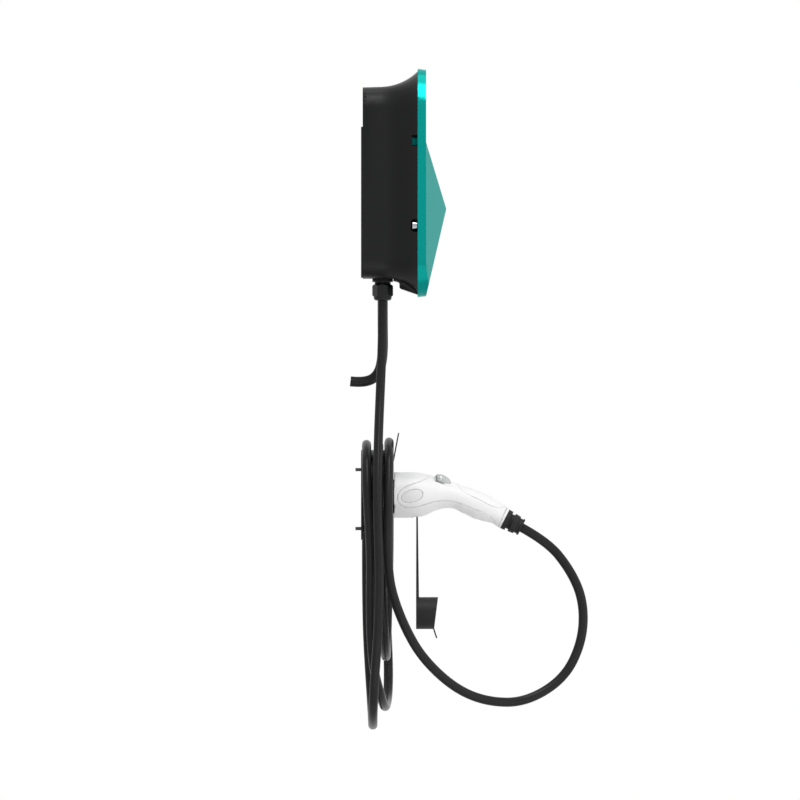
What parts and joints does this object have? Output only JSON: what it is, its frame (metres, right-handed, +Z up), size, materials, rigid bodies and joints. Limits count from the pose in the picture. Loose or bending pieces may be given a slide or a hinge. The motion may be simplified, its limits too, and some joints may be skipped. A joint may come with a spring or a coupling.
{
  "type": "ev wallbox",
  "caption": "Wall-mounted car charging box with a faceted teal cover, a coiled tethered cable and a plug resting in its wall holder.",
  "frame": {"origin": "middle of the wall bracket's four fixing holes, on the wall plane", "axes": "+Z up, +Y into the wall, +X to the right of someone facing the box"},
  "size_m": [0.314, 0.3573, 0.9907],
  "materials": {
    "bracket_paint": "fine textured powder coat, black",
    "black_moulding": "fine eroded mould texture, satin black",
    "seal_rubber": "smooth foamed seal rubber",
    "teal_cover": "satin gloss teal moulding",
    "bright_screw": "polished turned steel",
    "zinc_steel": "bright zinc on rolled steel",
    "module_grey": "fine matte light grey moulding",
    "board_green": "green solder resist, satin",
    "board_parts_dark": "matte component mouldings",
    "gland_nylon": "smooth black nylon",
    "black_screw": "black oxide steel",
    "contact_metal": "turned brass sleeves",
    "plug_white": "satin white moulding",
    "button_grey": "soft grey moulding",
    "cap_rubber": "matte black rubber",
    "cable_jacket": "satin extruded black jacket"
  },
  "bodies": {
    "wallbox": {"wall_bracket": "bracket_paint", "rear_housing": "black_moulding", "cover_seal": "seal_rubber", "front_cover": "teal_cover", "cover_screws": "bright_screw", "din_rail": "zinc_steel", "rail_screws": "zinc_steel", "power_contactor": "module_grey", "fault_sensor": "module_grey", "terminal_block": "module_grey", "control_board": "board_green", "control_board_parts": "board_parts_dark", "board_screws": "zinc_steel", "charging_gland_body": "gland_nylon", "charging_gland_nut": "gland_nylon", "supply_gland_body": "gland_nylon", "supply_gland_nut": "gland_nylon", "gland_locknuts": "gland_nylon", "gland_seals": "seal_rubber", "plug_holder": "black_moulding", "holder_screws": "black_screw", "plug_nose": "black_moulding", "plug_insert": "black_moulding", "plug_contacts": "contact_metal", "plug_front_shell": "plug_white", "plug_handle_shell": "plug_white", "plug_top_strip": "plug_white", "plug_end_collar": "plug_white", "side_inlay_left": "plug_white", "side_inlay_right": "plug_white", "button_pin": "plug_white", "strain_relief": "cap_rubber", "strap_pin": "zinc_steel", "charging_cable_upper": "cable_jacket", "charging_cable_coil": "cable_jacket", "charging_cable_loop": "cable_jacket", "supply_cable": "cable_jacket"},
    "release_button": {"plug_button": "button_grey"},
    "cap_on_strap": {"dust_cap": "cap_rubber"}
  },
  "joints": [
    {"name": "button_rock", "type": "hinge", "parent": "wallbox", "child": "release_button", "pos_m": [0, -0.1195, -0.413], "axis": [1, 0, 0], "range_deg": [0, 6], "stiffness_Nm_per_rad": 0.4},
    {"name": "cap_swing", "type": "hinge", "parent": "wallbox", "child": "cap_on_strap", "pos_m": [0, -0.084, -0.467], "axis": [1, 0, 0], "range_deg": [-35, 8]}
  ]
}
